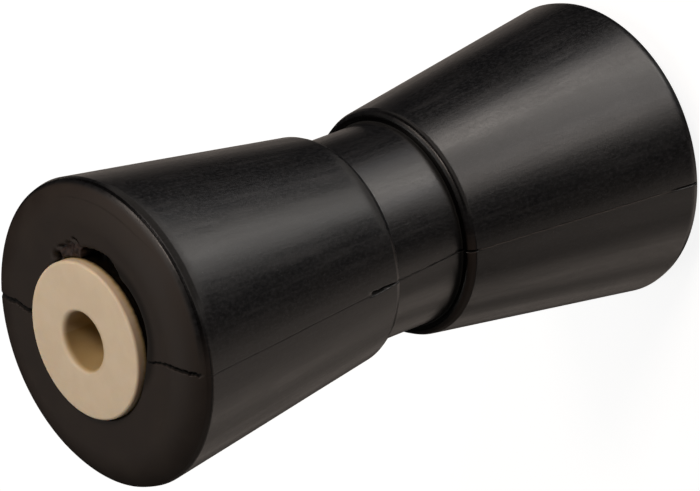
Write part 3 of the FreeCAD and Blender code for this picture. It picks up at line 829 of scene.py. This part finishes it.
class Tree:
    """A material's node tree, written from left to right."""

    def __init__(self, name):
        self.material = bpy.data.materials.new(name)
        self.material.use_nodes = True
        self.nodes = self.material.node_tree.nodes
        self.links = self.material.node_tree.links
        self.nodes.clear()

    def node(self, kind, values=None, **settings):
        made = self.nodes.new(kind)
        for key, value in settings.items():
            setattr(made, key, value)
        for key, value in (values or {}).items():
            self.give(made.inputs[key], value)
        return made

    def give(self, socket, value):
        if isinstance(value, bpy.types.NodeSocket):
            self.links.new(value, socket)
        else:
            socket.default_value = value

    def math(self, operation, first, second=0.0):
        return self.node("ShaderNodeMath", {0: first, 1: second}, operation=operation).outputs[0]

    def add(self, *values):
        return functools.reduce(lambda first, second: self.math("ADD", first, second), values)

    def times(self, first, second):
        return self.math("MULTIPLY", first, second)

    def larger(self, first, second):
        return self.math("MAXIMUM", first, second)

    def noise(self, vector, scale, detail=3.0, roughness=0.5):
        values = {"Vector": vector, "Scale": scale, "Detail": detail, "Roughness": roughness}
        return self.node("ShaderNodeTexNoise", values).outputs["Fac"]

    def ramp(self, factor, low, high, to_low=0.0, to_high=1.0):
        values = {"Value": factor, "From Min": low, "From Max": high, "To Min": to_low, "To Max": to_high}
        return self.node("ShaderNodeMapRange", values, interpolation_type="SMOOTHSTEP").outputs["Result"]

    def mix(self, factor, first, second):
        made = self.node("ShaderNodeMix", {"Factor": factor}, data_type="RGBA")
        for slot, value in (("A_Color", first), ("B_Color", second)):
            self.give(next(s for s in made.inputs if s.identifier == slot), value)
        return next(s for s in made.outputs if s.identifier == "Result_Color")

    def blend(self, factor, first, second):
        return self.node("ShaderNodeMix", {0: factor, 2: first, 3: second}, data_type="FLOAT").outputs[0]

    def stretch(self, vector, scale):
        return self.node("ShaderNodeVectorMath", {0: vector, 1: scale}, operation="MULTIPLY").outputs[0]

    def attribute(self, name):
        return self.node("ShaderNodeAttribute", attribute_name=name).outputs["Fac"]

    def bump(self, strength, distance, height, normal=None):
        values = {"Strength": strength, "Distance": distance, "Height": height}
        if normal is not None:
            values["Normal"] = normal
        return self.node("ShaderNodeBump", values).outputs["Normal"]

    def finish(self, values):
        shader = self.node("ShaderNodeBsdfPrincipled", values)
        self.node("ShaderNodeOutputMaterial", {"Surface": shader.outputs["BSDF"]})
        return self.material


def rubber_material():
    tree = Tree("moulded_rubber")
    place = tree.node("ShaderNodeTexCoord").outputs["Object"]
    matte, torn, seam, gloss_and_shade, pale_and_highlight = (
        tree.attribute(name) for name in ("matte", "torn", "seam", "gloss_and_shade", "pale_and_highlight")
    )

    # Distance round the roller and along it, so that streaks run lengthwise on the cones
    split = tree.node("ShaderNodeSeparateXYZ", {0: place}).outputs
    around = tree.times(tree.math("ARCTAN2", split["Y"], split["X"]), AROUND)
    flow = tree.node("ShaderNodeCombineXYZ", {"X": around, "Y": split["Z"], "Z": 0.0}).outputs[0]

    hairs = tree.noise(tree.stretch(flow, (1.0, 0.03, 1.0)), 1500.0, 3.0, 0.6)
    streaks = tree.noise(tree.stretch(flow, (1.0, 0.05, 1.0)), 420.0, 4.0, 0.65)
    smudges = tree.noise(tree.stretch(flow, (1.0, 0.30, 1.0)), 170.0, 4.0, 0.6)
    marks = tree.noise(tree.stretch(flow, (1.0, 0.22, 1.0)), 900.0, 3.0, 0.7)
    mottle = tree.noise(tree.stretch(flow, (1.0, 0.50, 1.0)), 1300.0, 3.0, 0.7)
    grain = tree.noise(place, 2600.0, 3.0, 0.6)
    bloom = tree.noise(place, 95.0, 5.0, 0.65)

    # Black skin under a grey film, mottle and specks
    film = tree.times(tree.ramp(streaks, 0.40, 0.72), tree.ramp(smudges, 0.38, 0.68))
    film = tree.larger(film, tree.ramp(marks, 0.50, 0.78, 0.0, 0.8))
    cloudy = tree.ramp(bloom, 0.35, 0.75)
    skin = tree.mix(cloudy, RUBBER_DARK, RUBBER_LIGHT)
    skin = tree.mix(film, skin, RUBBER_FILM)
    skin = tree.mix(tree.ramp(mottle, 0.42, 0.74, 0.0, 0.8), skin, RUBBER_MOTTLE)
    specks = tree.ramp(tree.noise(place, 1900.0, 2.0, 0.5), 0.70, 0.76)
    skin = tree.mix(specks, skin, RUBBER_SPECK)

    # Dull and torn places, pale lines and a painted highlight, and painted shade over all of them
    skin = tree.mix(matte, skin, tree.mix(cloudy, MATTE_DARK, MATTE_LIGHT))
    shreds = tree.ramp(tree.noise(place, 1100.0), 0.42, 0.62)
    skin = tree.mix(torn, skin, tree.mix(shreds, TORN_DARK, TORN_LIGHT))
    # Pale seam ridge and painted highlight
    pale = tree.times(pale_and_highlight, tree.ramp(streaks, 0.25, 0.6, 0.45, 1.0))
    skin = tree.mix(pale, skin, PALE_LINE_COLOUR)
    # Painted shade: the seam and crease marks turn the colour near black
    colour = tree.mix(tree.larger(seam, gloss_and_shade), skin, PAINTED_SHADE)

    uneven = tree.add(
        tree.ramp(streaks, 0.3, 0.7, -0.03, 0.03),
        tree.ramp(smudges, 0.3, 0.7, -0.02, 0.02),
        tree.ramp(mottle, 0.3, 0.7, -0.035, 0.035),
    )
    uneven = tree.blend(matte, uneven, tree.ramp(bloom, 0.3, 0.7, -0.04, 0.04))
    rough = tree.add(
        uneven,
        RUBBER_ROUGHNESS,
        tree.times(tree.larger(torn, matte), DULL_ROUGHNESS),
        tree.times(seam, SHADE_BAND_ROUGHNESS),
    )
    rough = tree.blend(gloss_and_shade, rough, CREASE_ROUGHNESS)

    drawn_marks = ((hairs, 0.3), (streaks, 0.4), (marks, 0.6), (mottle, 0.35))
    relief = tree.add(*(tree.times(mark, share) for mark, share in drawn_marks))
    relief = tree.times(relief, tree.math("SUBTRACT", 1.0, matte))
    drawn = tree.bump(1.0, 0.00003, relief)
    return tree.finish({
        "Base Color": colour,
        "Roughness": rough,
        "IOR": RUBBER_IOR,
        "Normal": tree.bump(0.4, 0.00002, grain, drawn),
    })


def nylon_material():
    tree = Tree("moulded_nylon")
    place = tree.node("ShaderNodeTexCoord").outputs["Object"]
    side_shade, bore = tree.attribute("side_shade"), tree.attribute("bore")
    mottle = tree.noise(place, 160.0, 4.0, 0.6)
    fine = tree.noise(place, 1500.0, 3.0, 0.6)
    smear = tree.noise(tree.stretch(place, (1.0, 1.0, 0.4)), 700.0, 3.0, 0.6)
    colour = tree.mix(tree.ramp(mottle, 0.35, 0.7), NYLON_DARK, NYLON_LIGHT)
    # Painted shade darkens the bore, except on its pale side, which is painted light
    colour = tree.mix(bore, colour, NYLON_BORE_SHADE)

    # Painted shade down the side in the gap, with a smeared edge, through an orange half shade
    smeared = tree.add(side_shade, tree.ramp(smear, 0.3, 0.7, -0.05, 0.05))
    smeared = tree.times(smeared, tree.math("GREATER_THAN", side_shade, 0.001))
    colour = tree.mix(tree.ramp(smeared, 0.0, 0.45), colour, NYLON_HALF_SHADE)
    colour = tree.mix(tree.ramp(smeared, 0.25, 0.95), colour, NYLON_SIDE_SHADE)
    clean = tree.ramp(fine, 0.3, 0.7, 0.55, 0.65)
    return tree.finish({
        "Base Color": colour,
        "Roughness": tree.blend(tree.ramp(side_shade, 0.6, 1.0), clean, SIDE_SHADE_ROUGHNESS),
        "IOR": NYLON_IOR,
        "Subsurface Weight": 0.5,
        "Subsurface Radius": (1.0, 0.65, 0.35),
        "Subsurface Scale": 0.002,
        "Normal": tree.bump(0.25, 0.00005, fine),
    })


# Stage, light and camera

FLOOR_HALF = 6.0
FLOOR_GREY = (0.25, 0.25, 0.25, 1)
FLOOR_GLOW = 0.894
WHITE = (1, 1, 1, 1)
ROOM_LEVEL = 0.005

# name, azimuth, elevation, side in metres, strength in watts, colour; all stand 1.5 m away
LAMP_DISTANCE = 1.5
WARM = (1.00, 0.86, 0.76)
SOFT = (1.00, 0.91, 0.84)
PALE = (1.00, 0.97, 0.92)
COOL = (0.94, 0.95, 1.00)
LAMPS = [
    ("under_side", -70, -60, 0.58, 1.1, WARM),
    ("under_front", -30, -60, 0.58, 0.45, WARM),
    ("low_left", -110, -35, 0.58, 0.5, WARM),
    ("low_side", -70, -35, 0.58, 1.4, WARM),
    ("low_front", -30, -35, 0.58, 1.35, WARM),
    ("low_back", 180, -35, 0.58, 0.5, WARM),
    ("level_side", -70, 10, 0.58, 1.35, WARM),
    ("main_under", 60, -50, 0.40, 1.85, PALE),
    ("main_1", 50, -35, 0.35, 1.25, COOL),
    ("main_2", 60, -35, 0.35, 2.6, SOFT),
    ("main_3", 70, -35, 0.35, 2.25, PALE),
    ("main_4", 90, -35, 0.35, 0.8, COOL),
    ("main_5", 40, -20, 0.40, 4.5, SOFT),
    ("main_6", 80, -20, 0.40, 6.8, SOFT),
    ("edge_1", 70, 38, 0.35, 8.0, WARM),
    ("edge_2", 105, 38, 0.35, 4.8, WARM),
    ("top_back", -135, 70, 0.80, 4.4, PALE),
    ("top_front", 135, 70, 0.80, 4.9, PALE),
]

# The photograph's camera: angles in degrees, and in metres its distance from a point close to the
# roller's middle, at which it aims
CAMERA_AZIMUTH = 28.0318
CAMERA_ELEVATION = 37.3752
CAMERA_ROLL = -111.0226
CAMERA_DISTANCE = 1.40185
CAMERA_AIM = (-0.00061, -0.00223, 0.10317)
CAMERA_LENS = 251.7
SENSOR_WIDTH = 36.0


def direction(azimuth, elevation):
    """The unit vector that points away from the roller at an azimuth and an elevation in degrees."""
    turn, lift = math.radians(azimuth), math.radians(elevation)
    return Vector((math.cos(turn) * math.cos(lift), math.sin(turn) * math.cos(lift), math.sin(lift)))


def make_floor():
    """A plain white floor. Lamps, reflections and bounces pass it by, so only the camera sees it,
    with the roller's soft shadow on it."""
    mesh = bpy.data.meshes.new("floor")
    corners = [(x * FLOOR_HALF, y * FLOOR_HALF, 0) for x, y in ((-1, -1), (1, -1), (1, 1), (-1, 1))]
    mesh.from_pydata(corners, [], [(0, 1, 2, 3)])
    floor = bpy.data.objects.new("floor", mesh)
    bpy.context.scene.collection.objects.link(floor)
    tree = Tree("white_floor")
    diffuse = tree.node("ShaderNodeBsdfDiffuse", {"Color": FLOOR_GREY})
    glow = tree.node("ShaderNodeEmission", {"Color": WHITE, "Strength": FLOOR_GLOW})
    both = tree.node("ShaderNodeAddShader", {0: diffuse.outputs[0], 1: glow.outputs[0]})
    tree.node("ShaderNodeOutputMaterial", {"Surface": both.outputs[0]})
    mesh.materials.append(tree.material)
    floor.visible_diffuse = False
    floor.visible_glossy = False
    floor.visible_transmission = False
    floor.visible_shadow = False


def make_world():
    """A white background that only the camera sees. Reflections see a dark room instead."""
    world = bpy.data.worlds.new("studio")
    bpy.context.scene.world = world
    world.use_nodes = True
    nodes, links = world.node_tree.nodes, world.node_tree.links
    nodes.clear()
    path = nodes.new("ShaderNodeLightPath")
    mix = nodes.new("ShaderNodeMixShader")
    out = nodes.new("ShaderNodeOutputWorld")
    links.new(path.outputs["Is Camera Ray"], mix.inputs[0])
    for slot, strength in ((1, ROOM_LEVEL), (2, 1.0)):
        background = nodes.new("ShaderNodeBackground")
        background.inputs["Color"].default_value = WHITE
        background.inputs["Strength"].default_value = strength
        links.new(background.outputs[0], mix.inputs[slot])
    links.new(mix.outputs[0], out.inputs["Surface"])


def make_lamps():
    aim = Vector((0, 0, MIDDLE * MM))
    for name, azimuth, elevation, side, power, colour in LAMPS:
        data = bpy.data.lights.new(name, "AREA")
        data.shape = "SQUARE"
        data.size = side
        data.energy = power
        data.color = colour
        lamp = bpy.data.objects.new(name, data)
        bpy.context.scene.collection.objects.link(lamp)
        away = direction(azimuth, elevation)
        lamp.location = aim + away * LAMP_DISTANCE
        lamp.rotation_mode = "QUATERNION"
        lamp.rotation_quaternion = away.to_track_quat("Z", "Y")
        lamp.visible_camera = False


def make_camera():
    data = bpy.data.cameras.new("camera")
    data.sensor_width = SENSOR_WIDTH
    data.lens = CAMERA_LENS
    data.clip_start, data.clip_end = 0.05, 50.0
    camera = bpy.data.objects.new("camera", data)
    bpy.context.scene.collection.objects.link(camera)
    back = direction(CAMERA_AZIMUTH, CAMERA_ELEVATION)
    level_right = Vector((0, 0, 1)).cross(back).normalized()
    level_up = back.cross(level_right)
    roll = math.radians(CAMERA_ROLL)
    right = level_right * math.cos(roll) + level_up * math.sin(roll)
    up = level_up * math.cos(roll) - level_right * math.sin(roll)
    facing = Matrix((right, up, back)).transposed().to_4x4()
    camera.matrix_world = Matrix.Translation(Vector(CAMERA_AIM) + back * CAMERA_DISTANCE) @ facing
    bpy.context.scene.camera = camera


rubber = rubber_material()
nylon = nylon_material()

roller = make_roller()
roller.data.materials.append(rubber)
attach(roller, "root")
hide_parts("roller_body")

for name, node, top in (("upper_bush", "top_bush", True), ("lower_bush", "bottom_bush", False)):
    bush = make_bush(name, top)
    bush.data.materials.append(nylon)
    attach(bush, "root")
    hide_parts(node)

make_floor()
make_world()
make_lamps()
make_camera()
bpy.context.scene.view_settings.view_transform = "Standard"
